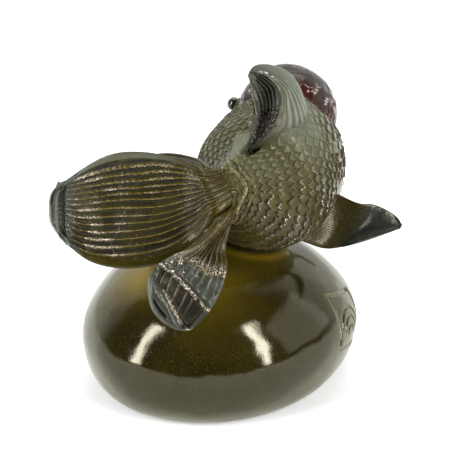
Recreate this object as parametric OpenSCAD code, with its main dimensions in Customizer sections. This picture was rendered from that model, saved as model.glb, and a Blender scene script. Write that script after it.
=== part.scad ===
// Goldfish figurine: a red-capped oranda resting on a smooth river pebble.
// Cast pieces, each seated on its neighbour with a glued round peg.
// Millimetres, +Z up, +Y towards the fish's head, +X to the fish's right.
// The origin is the centre of the pebble's flat underside.

/* [Pebble] */
// Long axis of the pebble
pebble_long = 77.6; // [70:0.4:84]
// Short axis of the pebble
pebble_short = 67.8; // [60.2:0.4:74.2]
// Height of the pebble above the surface it rests on
pebble_height = 40; // [39:0.5:41]
// Size of the flat underside as a part of the full outline
pebble_foot = 0.79; // [0.61:0.02:0.83]
// Angle of the long axis, measured from +X
pebble_turn = 53; // [40:1:66]
// Side length of the engraved seal
seal_size = 14; // [11:0.5:16]
// Width of the engraved seal's grooves
groove_w = 1.2; // [0.8:0.1:1.6]

/* [Fish] */
// Half width of the body at its fullest
body_half_w = 19.5; // [18.5:0.1:20]
// Height of the back above the body's axis
back_height = 19; // [18.5:0.1:19.5]
// Depth of the belly below the body's axis
belly_depth = 18; // [17.8:0.1:18.4]
// Radius of the round hood on the head
cap_radius = 13.5; // [12.5:0.1:13.8]
// Radius of each eye bead
eye_radius = 1.9; // [1.6:0.1:2.1]

/* [Fins] */
// Thickness of the tail lobes along their middle
tail_thickness = 2.6; // [2:0.1:3]
// Thickness of the paired fins along their middle
fin_thickness = 2; // [1.6:0.1:2.4]
// Height of the raised rays on the fins
ray_height = 0.3; // [0:0.05:0.45]
// Number of rays on each tail lobe
ray_count = 6; // [4:1:8]

/* [Fits] */
// Diameter of the fin pegs
peg_d = 1.8; // [1.4:0.1:2.2]
// Diameter of the dowel between fish and pebble
dowel_d = 6; // [4:0.5:8]
// Gap left round each glued fit
glue_gap = 0.05; // [0.03:0.01:0.1]

/* [Hidden] */
$fn = 48;

olive = [0.30, 0.28, 0.14];
olive_light = [0.44, 0.42, 0.28];
fin_olive = [0.38, 0.35, 0.20];
maroon = [0.34, 0.13, 0.13];
bead_black = [0.09, 0.11, 0.12];

// Level of the pebble's widest outline, and the place of the dowel
waist_z = 14;
dowel_x = 8;
dowel_y = 8;
dowel_low = 25;
dowel_high = 50;

// Axis of the body from tail root to mouth, and its half sizes at the same stations
spine = [
    [6.2, -14.5, 62.2], [8, -7.5, 60.5], [9, 2, 57],
    [9.6, 13, 55.6], [9.2, 26, 56.6], [4.5, 40, 57.5]
];
half_w = [4.6, 8.2, 17, body_half_w, 17.2, 5];
half_up = [6.3, 9.3, 16.5, back_height, 18, 5];
half_dn = [6.6, 10.2, 17.4, belly_depth, 15.6, 5];
round_up = 1.08;
round_dn = 0.82;

// The head is turned a little to the fish's left
head_turn = 30;
cap_at = [9, 31, 66];
head_right = [cos(head_turn), sin(head_turn), 0];
head_fore = [-sin(head_turn), cos(head_turn), 0];
function in_head(side, fore, up) = cap_at + side * head_right + fore * head_fore + [0, 0, up];
eye_l = in_head(-13.2, 10, -0.9);
eye_r = in_head(13.2, 10, -0.9);
cheek_at = in_head(0, 4.5, -7.8);
cheek_r = 13;
mouth_at = in_head(0, 4.5 + cheek_r - 0.3, -8.8);
mouth_dir = in_head(0, 10, -0.8) - cap_at;

// ---------- vectors and smooth curves ----------
function unit(v) = v / max(norm(v), 0.000001);
function last(p) = len(p) - 1;
function total(v, i = 0) = i >= len(v) ? [0, 0, 0] : v[i] + total(v, i + 1);
function middle(v) = total(v) / len(v);
function knot(p, i) = i < 0 ? 2 * p[0] - p[1] : i > last(p) ? 2 * p[last(p)] - p[last(p) - 1] : p[i];
function blend4(a, b, c, d, f) =
    b + 0.5 * f * (c - a + f * (2 * a - 5 * b + 4 * c - d + f * (3 * b - a - 3 * c + d)));
function piece(p, i, f) = blend4(knot(p, i - 1), knot(p, i), knot(p, i + 1), knot(p, i + 2), f);
function split(p, s, i) = piece(p, i, s - i);
// Point on the smooth curve through the stations p, for t from 0 to 1
function along(p, t) =
    let (s = min(max(t, 0), 1) * last(p))
    split(p, s, min(floor(s), last(p) - 1));
function power(x, e) = sign(x) * pow(abs(x), e);
// Steps from 0 to 1, closer together near 1
function ease(i, n) = sin(90 * i / n);

// ---------- surface of the body ----------
function axis_dir(u) = unit(along(spine, min(u + 0.01, 1)) - along(spine, max(u - 0.01, 0)));
function axis_right(u) = unit(cross(axis_dir(u), [0, 0, 1]));
function axis_up(u) = cross(axis_right(u), axis_dir(u));
// Point on the body: u runs from tail root to mouth, v is 0 on the right and 90 on the back
function body_at(u, v, off = 0) =
    let (e = sin(v) > 0 ? round_up : round_dn)
    let (h = sin(v) > 0 ? along(half_up, u) : along(half_dn, u))
    along(spine, u)
    + axis_right(u) * (along(half_w, u) + off) * power(cos(v), e)
    + axis_up(u) * (h + off) * power(sin(v), e);
root_at = spine[0];
root_dir = axis_dir(0);
root_right = axis_right(0);
root_up = axis_up(0);
// Point on the flat face at the tail root
function root(a, b, back = 0.1) = root_at + root_right * a + root_up * b - root_dir * back;

// ---------- surface of the pebble ----------
function waist(z) =
    let (k = (z - waist_z) / (pebble_height - waist_z))
    z < waist_z
        ? pebble_foot + (1 - pebble_foot) * sqrt(max(0, 1 - pow((waist_z - z) / waist_z, 2)))
        : pow(max(0, 1 - pow(min(k, 1), 1.85)), 1 / 1.85);
function turned(x, y, a) = [x * cos(a) - y * sin(a), x * sin(a) + y * cos(a)];
function pebble_at(a, z, grow = 1) =
    let (w = waist(z) * grow)
    let (p = turned(w * pebble_long / 2 * cos(a), w * pebble_short / 2 * sin(a), pebble_turn))
    [p[0], p[1], z];

// ---------- closed skins ----------
function joined(a) = [for (r = a) for (p = r) p];
function side_faces(m, n) = [
    for (i = [0:m - 2], j = [0:n - 1], k = [0:1])
        let (a = i * n + j, b = i * n + (j + 1) % n)
        k == 0 ? [a, b + n, b] : [a, a + n, b + n]
];
function first_cap(m, n) = [for (j = [0:n - 1]) [m * n, j, (j + 1) % n]];
function last_cap(m, n) = [for (j = [0:n - 1]) [m * n + 1, (m - 1) * n + (j + 1) % n, (m - 1) * n + j]];
// Skin through closed rings of points; each ring turns left about the way the rings run
module skin(rings) {
    m = len(rings);
    n = len(rings[0]);
    points = concat(joined(rings), [middle(rings[0]), middle(rings[m - 1])]);
    polyhedron(points, concat(side_faces(m, n), first_cap(m, n), last_cap(m, n)));
}
// Turns the children's +Z to a direction and moves them to a point
module facing(at, dir) {
    w = unit(dir);
    translate(at) rotate([0, acos(w[2]), atan2(w[1], w[0])]) children();
}
// Round peg of diameter d from a point along a direction
module peg(at, dir, length, d) {
    facing(at, dir) cylinder(h = length, d = d, $fn = 24);
}
// Raised socket that carries an eye bead out from the cheek
module socket_cone(from, to) {
    facing(from, to - from) cylinder(h = norm(to - from) - 0.3, r1 = 12, r2 = eye_radius + 0.5);
}

// ---------- fins: a thin blade between two smooth edges ----------
// Point of the blade's middle surface, t along it and v across it
function blade_flat(e1, e2, t, v) = along(e1, t) * (1 - v) + along(e2, t) * v;
function blade_normal(e1, e2, t) =
    let (a = blade_flat(e1, e2, max(t - 0.02, 0), 0.5), b = blade_flat(e1, e2, min(t + 0.02, 1), 0.5))
    unit(cross(b - a, along(e2, t) - along(e1, t)));
function ray(v) = ray_height * cos(360 * ray_count * v);
function blade_half(th, t, v) = th * (0.5 - 0.22 * t) * (0.35 + 0.65 * sqrt(4 * v * (1 - v)));
function ray_fade(t, v) = min(1, 6 * t) * min(1, 8 * v) * min(1, 8 * (1 - v)) * min(1, 8 * (1.02 - t));
// One side of the blade: s is -1 or 1
function blade_side(e1, e2, bow, th, t, v, s) =
    blade_flat(e1, e2, t, v)
    + blade_normal(e1, e2, t)
    * (along(bow, t) * 4 * v * (1 - v) + s * (blade_half(th, t, v) + ray(v) * ray_fade(t, v)));
function blade_ring(e1, e2, bow, th, t, m) = concat(
    [for (j = [0:m]) blade_side(e1, e2, bow, th, t, j / m, -1)],
    [for (j = [m:-1:0]) blade_side(e1, e2, bow, th, t, j / m, 1)]
);
module blade(e1, e2, bow, th, n, m) {
    skin([for (i = [0:n]) blade_ring(e1, e2, bow, th, i / n, m)]);
}
function moved(p, by) = [for (q = p) q + by];

// ---------- tail lobes, as edge stations measured from the tail root ----------
ur_peg = root(2.3, 3.2);
lr_peg = root(2.3, -3.4);
ul_peg = root(-2.3, 3.2);
ll_peg = root(-2.3, -3.4);
ur_top = concat(
    [root(0.9, 5.6)],
    moved([
        [-4, -3.5, 8], [-10.5, -4.5, 10], [-18, -7, 11.7], [-26.5, -9, 10.8],
        [-35, -10.5, 6.5], [-43, -10.6, 0]
    ], root_at)
);
ur_low = concat(
    [root(3.6, 1.1)],
    moved([
        [0, -5.5, -5], [-6, -7.5, -13], [-12.5, -12, -17], [-22.5, -15.5, -18.6],
        [-32.5, -16.5, -17.6], [-42.5, -13.5, -13]
    ], root_at)
);
ur_bow = [0, -2, -4, -4, -4, -3, -1];
lr_top = concat(
    [root(3.6, -1.4)],
    moved([
        [2.4, -7.8, -4], [-2.4, -12.9, -9.2], [-6.9, -17.7, -10.7], [-10, -21.5, -12.8],
        [-11.2, -24, -16], [-11.2, -25.2, -19.6]
    ], root_at)
);
lr_low = concat(
    [root(0.9, -5.8)],
    moved([
        [4, -5, -7.5], [4.2, -8.5, -11.5], [5.8, -11.5, -14.4], [5.8, -16.2, -19],
        [3.7, -20.4, -24.3], [-0.3, -22.9, -29.3]
    ], root_at)
);
lr_bow = [0, -1, -2, -2, -2, -1, 0];
ul_top = concat(
    [root(-0.9, 5.6)],
    moved([
        [-4.5, 0.8, 6.3], [-8, 3.5, 6.5], [-14, 6.5, 5.5], [-21, 9, 3.5],
        [-28.5, 10.5, 0], [-36, 12, -7]
    ], root_at)
);
ul_low = concat(
    [root(-3.6, 1.1)],
    moved([
        [-5.2, 0.8, -1], [-8, 3, -5], [-14, 5, -8.5], [-20, 7.5, -11.5],
        [-28, 8.5, -14.5], [-36, 11, -15]
    ], root_at)
);
ul_bow = [0, 1, 2, 3, 3, 2, 0];
ll_top = concat(
    [root(-3.6, -1.4)],
    moved([
        [-5, 0.5, -6], [-12, 5, -11], [-18.5, 7, -15], [-24, 8, -19]
    ], root_at)
);
ll_low = concat(
    [root(-0.9, -5.8)],
    moved([
        [-3, -0.5, -10], [-8, 4, -15.5], [-13, 6, -19.5], [-19, 7, -23]
    ], root_at)
);
ll_bow = [0, 1, 2, 1, 0];

// ---------- paired fins ----------
function mirrored(p) = [for (q = p) [2 * 9.2 - q[0], q[1], q[2]]];
pec_u = 0.57;
pec_v = -32;
rp_top = concat(
    [body_at(0.66, -12, -0.8)],
    [
        [34.2, 15.7, 49.6], [38.8, 15.2, 50.1], [43.4, 13.7, 49.7], [46.2, 12.6, 48.8],
        [47.8, 12.1, 47.2]
    ]
);
rp_low = concat(
    [body_at(0.48, -50, -0.8)],
    [
        [27.3, 6.8, 38.9], [32.2, 7.5, 39.8], [37, 7.1, 42.4], [41.4, 7.6, 44.8],
        [45.3, 9.1, 46.3], [47.8, 11, 46.8]
    ]
);
rp_bow = [0, 1.5, 3, 2.5, 1.5, 0];
lp_top = mirrored(rp_top);
lp_low = mirrored(rp_low);
rv_top = concat([body_at(0.8, -42, -0.8)], [[25.5, 30, 42], [27.5, 28, 38.5], [28.5, 25, 35]]);
rv_low = concat([body_at(0.7, -52, -0.8)], [[24, 22.5, 39], [26.5, 21.5, 36], [28, 22, 33.5]]);
rv_bow = [0, 0.8, 0.8, 0];
lv_top = mirrored(rv_top);
lv_low = mirrored(rv_low);
function inward(u, v) = unit(along(spine, u) - body_at(u, v));

// ---------- dorsal fin: a hollow-backed wedge, as rings of points ----------
side_n = 8;
function row(a, b, lift, n) = [
    for (j = [0:n - 1])
        a + (b - a) * j / n + lift * 4 * (j / n) * (1 - j / n)
];
function fin_ring(front, left, right, hollow) = concat(
    row(front, left, [-1, 0, 0] * hollow * 0.3, side_n),
    row(left, right, (front - (left + right) / 2) * 0.08 * hollow, side_n),
    row(right, front, [1, 0, 0] * hollow * 0.2, side_n)
);
foot_off = -0.8;
fin_peg_x = 11.6;
fin_peg_y = [8.5, 15.5];
fin_foot = concat(
    [for (j = [0:side_n - 1]) body_at(0.73 - 0.43 * j / side_n, 74 + 20 * j / side_n, foot_off)],
    [for (j = [0:side_n - 1]) body_at(0.3 - 0.02 * j / side_n, 94 - 8 * j / side_n, foot_off)],
    [
        for (j = [0:side_n - 1])
            body_at(0.28 + 0.45 * j / side_n, 86 - 12 * j / side_n - 12 * sin(180 * j / side_n), foot_off)
    ]
);
fin_rings = [
    fin_foot,
    fin_ring([15, 22.5, 76.5], [8.6, 3, 74], [13.8, 1.6, 74.2], 2),
    fin_ring([13.5, 19.5, 83], [7.8, 5, 78.6], [15.4, 4.2, 78.4], 4.5),
    fin_ring([10, 16, 86.2], [6.4, 7.4, 82.2], [15, 7, 82], 4.5),
    fin_ring([7, 13.5, 87.1], [5, 9.8, 84.4], [11.2, 9.3, 85], 3),
    fin_ring([5.4, 12, 86.4], [4.8, 11, 85], [5.8, 11, 85.7], 1)
];
function fin_at(t) = [for (j = [0:len(fin_foot) - 1]) along([for (r = fin_rings) r[j]], t)];

// ---------- engraved seal: grooves that follow the pebble ----------
seal_a = -45;
seal_z = 18;
seal_tilt = 19;
// Point on the pebble at s across and h up from the seal's centre
function seal_pt(s, h) =
    let (p = turned(s, h, -seal_tilt))
    pebble_at(seal_a + p[0] * 1.6, seal_z + p[1] * 0.98);
function hexagon(p, way, r) =
    let (out = unit([p[0], p[1], 0]))
    let (w = unit(way), a = unit(out - w * (out * w)), b = cross(w, a))
    [for (k = [0:5]) p + a * r * cos(60 * k) + b * r * sin(60 * k)];
function groove_rings(path, r) = [
    for (i = [0:last(path)])
        hexagon(path[i], path[min(i + 1, last(path))] - path[max(i - 1, 0)], r)
];
module groove(path) {
    skin(groove_rings(path, groove_w / 2));
}
module seal() {
    s = seal_size / 2;
    for (h = [-s, s]) groove([for (i = [-4:4]) seal_pt(i / 4 * (s + groove_w / 4), h)]);
    for (x = [-s, s]) groove([for (i = [-4:4]) seal_pt(x, i / 4 * (s - groove_w * 0.8))]);
    for (r = [0.3, 0.56, 0.82])
        groove([
            for (i = [0:6])
                let (q = 20 + i * 140 / 6)
                seal_pt(s * r * cos(q), s * (r * 1.3 * sin(q) - 0.62))
        ]);
}

// ---------- sub-parts ----------
module pebble_skin() {
    ring_n = 56;
    low = [for (i = [0:7]) waist_z * (i - 0.25) / 8];
    high = [for (i = [0:11]) waist_z + (pebble_height - waist_z) * ease(i, 11.4)];
    skin([for (z = concat(low, high)) [for (j = [0:ring_n - 1]) pebble_at(360 * j / ring_n, z)]]);
}
// Body surface between two of its 35 rings, grown outwards by off
module body_skin(off = 0, from = 0, to = 34) {
    m = 36;
    skin([
        for (i = [from:to])
            let (u = 0.5 - 0.5 * cos(180 * i / 34))
            [for (j = [0:m - 1]) body_at(u, -360 * j / m, off)]
    ]);
}
module pebble_base() {
    color(olive) difference() {
        pebble_skin();
        translate([-60, -60, -10]) cube([120, 120, 10]);
        translate([dowel_x, dowel_y, dowel_low - 0.3]) cylinder(h = 30, d = dowel_d + 2 * glue_gap);
        seal();
    }
}

module mounting_dowel() {
    color("tan") translate([dowel_x, dowel_y, dowel_low]) union() {
        translate([0, 0, 0.6]) cylinder(h = dowel_high - dowel_low - 1.2, d = dowel_d);
        cylinder(h = 0.6, d1 = dowel_d - 1.2, d2 = dowel_d);
        translate([0, 0, dowel_high - dowel_low - 0.6])
            cylinder(h = 0.6, d1 = dowel_d, d2 = dowel_d - 1.2);
    }
}

module fish_body() {
    bore = peg_d + 2 * glue_gap;
    color(olive_light) difference() {
        union() {
            body_skin();
            translate(cheek_at) sphere(r = cheek_r);
            for (e = [eye_l, eye_r]) socket_cone(cheek_at, e);
            facing(mouth_at, mouth_dir) rotate_extrude() translate([2.6, 0]) circle(r = 1.2);
        }
        for (e = [eye_l, eye_r]) translate(e) sphere(r = eye_radius + glue_gap);
        translate(mouth_at + unit(mouth_dir) * 1.2) sphere(r = 2.2);
        translate([0, 0, glue_gap]) pebble_skin();
        translate([dowel_x, dowel_y, 30]) cylinder(h = dowel_high + 0.3 - 30, d = dowel_d + 2 * glue_gap);
        translate(cap_at) sphere(r = cap_radius + glue_gap);
        translate(cap_at) rotate([160, 0, 0]) cylinder(h = cap_radius + 6.2, d = 4 + 2 * glue_gap);
        for (y = fin_peg_y) peg([fin_peg_x, y, 78], [0, 0, -1], 14, bore);
        for (p = [ur_peg, lr_peg, ul_peg, ll_peg])
            peg(p - root_dir, root_dir, 8.4, bore);
        peg(body_at(pec_u, pec_v) - inward(pec_u, pec_v) * 2, inward(pec_u, pec_v), 8.3, bore);
        peg(body_at(pec_u, 180 - pec_v) - inward(pec_u, 180 - pec_v) * 2,
            inward(pec_u, 180 - pec_v), 8.3, bore);
        peg(body_at(0.75, -47) - inward(0.75, -47) * 2, inward(0.75, -47), 7.3, bore);
        peg(body_at(0.75, 227) - inward(0.75, 227) * 2, inward(0.75, 227), 7.3, bore);
    }
}

module head_cap() {
    color(maroon) union() {
        translate(cap_at) sphere(r = cap_radius);
        translate(cap_at) rotate([160, 0, 0]) cylinder(h = cap_radius + 6, d = 4);
    }
}

module eye(at) {
    color(bead_black) translate(at) sphere(r = eye_radius);
}
module left_eye() {
    eye(eye_l);
}
module right_eye() {
    eye(eye_r);
}

module dorsal_fin() {
    color(fin_olive) union() {
        difference() {
            skin([for (i = [0:16]) fin_at(i / 16)]);
            body_skin(glue_gap, 7, 25);
        }
        for (y = fin_peg_y) peg([fin_peg_x, y, 75.8], [0, 0, -1], 11.3, peg_d);
    }
}

module lobe(top, low, bow, at) {
    color(fin_olive) union() {
        difference() {
            blade(top, low, bow, tail_thickness, 16, 18);
            body_skin(glue_gap, 0, 11);
        }
        peg(at - root_dir * 1.2, root_dir, 8.2, peg_d);
    }
}
module tail_upper_right() {
    lobe(ur_top, ur_low, ur_bow, ur_peg);
}
module tail_lower_right() {
    lobe(lr_top, lr_low, lr_bow, lr_peg);
}
module tail_upper_left() {
    lobe(ul_low, ul_top, ul_bow, ul_peg);
}
module tail_lower_left() {
    lobe(ll_low, ll_top, ll_bow, ll_peg);
}

module side_fin(top, low, bow, u, v, length) {
    color(fin_olive) union() {
        difference() {
            blade(top, low, bow, fin_thickness, 12, 14);
            body_skin(glue_gap, 10, 28);
        }
        peg(body_at(u, v) - inward(u, v) * 1.4, inward(u, v), length, peg_d);
    }
}
module right_pectoral_fin() {
    side_fin(rp_top, rp_low, rp_bow, pec_u, pec_v, 7.4);
}
module left_pectoral_fin() {
    side_fin(lp_low, lp_top, rp_bow, pec_u, 180 - pec_v, 7.4);
}
module right_pelvic_fin() {
    side_fin(rv_top, rv_low, rv_bow, 0.75, -47, 6.4);
}
module left_pelvic_fin() {
    side_fin(lv_low, lv_top, rv_bow, 0.75, 227, 6.4);
}

pebble_base();
mounting_dowel();
fish_body();
head_cap();
left_eye();
right_eye();
dorsal_fin();
tail_upper_right();
tail_lower_right();
tail_upper_left();
tail_lower_left();
right_pectoral_fin();
left_pectoral_fin();
right_pelvic_fin();
left_pelvic_fin();
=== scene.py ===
import math
import bmesh
import bpy
import numpy as np
from mathutils import Matrix, Vector
from mathutils.kdtree import KDTree


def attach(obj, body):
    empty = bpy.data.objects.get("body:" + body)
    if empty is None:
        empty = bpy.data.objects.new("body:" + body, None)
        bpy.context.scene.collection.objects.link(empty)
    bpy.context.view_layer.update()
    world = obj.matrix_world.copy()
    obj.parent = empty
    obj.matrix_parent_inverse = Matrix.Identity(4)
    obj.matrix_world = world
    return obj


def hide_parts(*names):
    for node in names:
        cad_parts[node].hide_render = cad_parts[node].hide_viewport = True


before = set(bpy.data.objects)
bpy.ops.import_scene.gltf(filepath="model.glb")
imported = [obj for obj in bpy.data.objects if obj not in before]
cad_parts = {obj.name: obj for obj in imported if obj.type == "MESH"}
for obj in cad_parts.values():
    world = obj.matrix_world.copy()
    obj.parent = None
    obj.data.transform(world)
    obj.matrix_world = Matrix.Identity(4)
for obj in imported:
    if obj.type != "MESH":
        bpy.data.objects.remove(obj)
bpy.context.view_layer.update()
MM = 0.001


# -------------------- small maths, in millimetres
def unit(v):
    return v / np.maximum(np.linalg.norm(v, axis=-1, keepdims=True), 1e-9)


def smooth(a, b, x):
    """0 where x is at a, 1 where it is at b, with soft ends. a may be above b."""
    t = np.clip((x - a) / (b - a), 0, 1)
    return t * t * (3 - 2 * t)


def bell(x, at, width, power=2):
    """1 where x is at, falling to 0 past that width. A higher power has a flatter top."""
    return np.exp(-(((x - at) / width) ** power))


def mid_of(q):
    """Signed distance of q from the middle of its unit cell."""
    return q - np.floor(q) - 0.5


def crom(knots, t):
    """Catmull-Rom through the knots, t from 0 to 1."""
    k = np.asarray(knots, float)
    flat = k.ndim == 1
    if flat:
        k = k[:, None]
    n = len(k) - 1
    k = np.vstack([2 * k[0] - k[1], k, 2 * k[-1] - k[-2]])
    x = np.clip(np.asarray(t, float), 0, 1) * n
    i = np.minimum(x.astype(int), n - 1)
    f = (x - i)[..., None]
    a, b, c, d = k[i], k[i + 1], k[i + 2], k[i + 3]
    out = 0.5 * (2 * b + (c - a) * f + (2 * a - 5 * b + 4 * c - d) * f**2 + (3 * b - a - 3 * c + d) * f**3)
    return out[..., 0] if flat else out


def rnd(*ints, seed=0):
    """Repeatable random numbers from 0 to 1 for integer arrays, from a hash with large odd factors."""
    n = np.int64(seed * 7919 + 13)
    for k, q in enumerate(ints):
        n = n + np.asarray(q, np.int64) * (374761393, 668265263, 362437)[k % 3]
    n = (n ^ (n >> 13)) * 1274126177
    n = n ^ (n >> 16)
    n = (n * 1103515245 + 12345) & 0x7FFFFFFF
    return (n >> 7 & 0xFFFF) / 65535.0


def noise(p, size, seed=0):
    """Smooth value noise from 0 to 1 at points p, with cells of that size."""
    q = np.asarray(p, float) / size
    i = np.floor(q).astype(np.int64)
    f = q - i
    f = f * f * (3 - 2 * f)
    out = 0
    for dx in (0, 1):
        for dy in (0, 1):
            for dz in (0, 1):
                w = 1
                for c, d in enumerate((dx, dy, dz)):
                    w = w * (f[..., c] if d else 1 - f[..., c])
                out = out + w * rnd(i[..., 0] + dx, i[..., 1] + dy, i[..., 2] + dz, seed=seed)
    return out


def flat_noise(a, b, seed):
    """Noise over the plane of a and b, with cells of 1."""
    return noise(np.stack([a, b, 0 * a], -1), 1.0, seed)


def fbm(p, size, seed=0, steps=3):
    """Noise of several sizes, each half as big and half as strong as the one before."""
    return sum(noise(p, size / 2**k, seed + k) / 2 ** (k + 1) for k in range(steps)) / (1 - 0.5**steps)


# -------------------- meshes
def tube_faces(m, n):
    """Faces for m closed rings of n points, followed by a middle point for each end."""
    i, j = np.meshgrid(np.arange(m - 1), np.arange(n), indexing="ij")
    k = (j + 1) % n
    faces = np.stack([i * n + j, i * n + k, (i + 1) * n + k, (i + 1) * n + j], -1).reshape(-1, 4).tolist()
    faces += [[m * n, (a + 1) % n, a] for a in range(n)]
    faces += [[m * n + 1, (m - 1) * n + a, (m - 1) * n + (a + 1) % n] for a in range(n)]
    return faces


def with_caps(grid):
    """Points of closed rings, and the middles of the first and last ring."""
    g = grid.reshape(-1, grid.shape[-1])
    return np.vstack([g, grid[0].mean(0), grid[-1].mean(0)])


def end_means(amounts):
    """Amounts for closed rings, with each end ring's mean for its middle point."""
    return {k: np.append(v.ravel(), [v[0].mean(), v[-1].mean()]) for k, v in amounts.items()}


def end_zeros(amounts):
    return {k: np.append(v.ravel(), [0, 0]) for k, v in amounts.items()}


def set_amounts(me, amounts):
    for key, val in amounts.items():
        at = me.attributes.new(key, "FLOAT", "POINT")
        at.data.foreach_set("value", np.asarray(val, np.float32).ravel())


def new_mesh(name, points, faces, amounts=None):
    """A smooth mesh from points in millimetres, with one colour amount per point under each name."""
    me = bpy.data.meshes.new(name)
    me.from_pydata((np.asarray(points, float) * MM).tolist(), [], faces)
    bm = bmesh.new()
    bm.from_mesh(me)
    bmesh.ops.recalc_face_normals(bm, faces=bm.faces)
    bm.to_mesh(me)
    bm.free()
    me.shade_smooth()
    none = np.zeros(len(points))
    set_amounts(me, {"spark": none, "pale_and_sheen": none, **(amounts or {})})
    return me


def piece(name, me, mat, node):
    """Adds the mesh as the visible form of one CAD node."""
    ob = bpy.data.objects.new(name, me)
    bpy.context.scene.collection.objects.link(ob)
    me.materials.clear()
    me.materials.append(mat)
    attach(ob, "root")
    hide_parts(node)
    return ob


def vectors(me, key):
    """Each vertex's "co" or "normal", as stored."""
    v = np.zeros(len(me.vertices) * 3, np.float32)
    me.vertices.foreach_get(key, v)
    return v.reshape(-1, 3).astype(float)


def set_coords(me, p):
    me.vertices.foreach_set("co", (p * MM).astype(np.float32).ravel())
    me.update()


def edge_list(me):
    e = np.zeros(len(me.edges) * 2, np.int32)
    me.edges.foreach_get("vertices", e)
    return e.reshape(-1, 2)


def relax(p, edges, weight, steps):
    """Averages each point with its neighbours, by its weight."""
    for _ in range(steps):
        total = np.zeros_like(p)
        count = np.zeros(len(p))
        for a, b in ((0, 1), (1, 0)):
            for c in range(3):
                total[:, c] += np.bincount(edges[:, a], p[edges[:, b], c], len(p))
            count += np.bincount(edges[:, a], minlength=len(p))
        mid = total / np.maximum(count, 1)[:, None]
        p = p + (mid - p) * weight[:, None]
    return p


# -------------------- materials
PALE_AND_SHEEN = (0.17, 0.19, 0.155)  # milky green of the crests and of the dorsal fin's faces, partly their own tone and partly a painted sheen
PAINTED_GLINT_TONE = (0.85, 0.73, 0.64)  # painted highlight: warm glint of rough crests
PAINTED_EDGE_GLOW = (0.15, 0.155, 0.085)  # painted glow of light passing through the thin outline
BLACK = (0.003, 0.003, 0.002)
SPEC_TINT = (1.0, 0.95, 0.72, 1.0)


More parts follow.
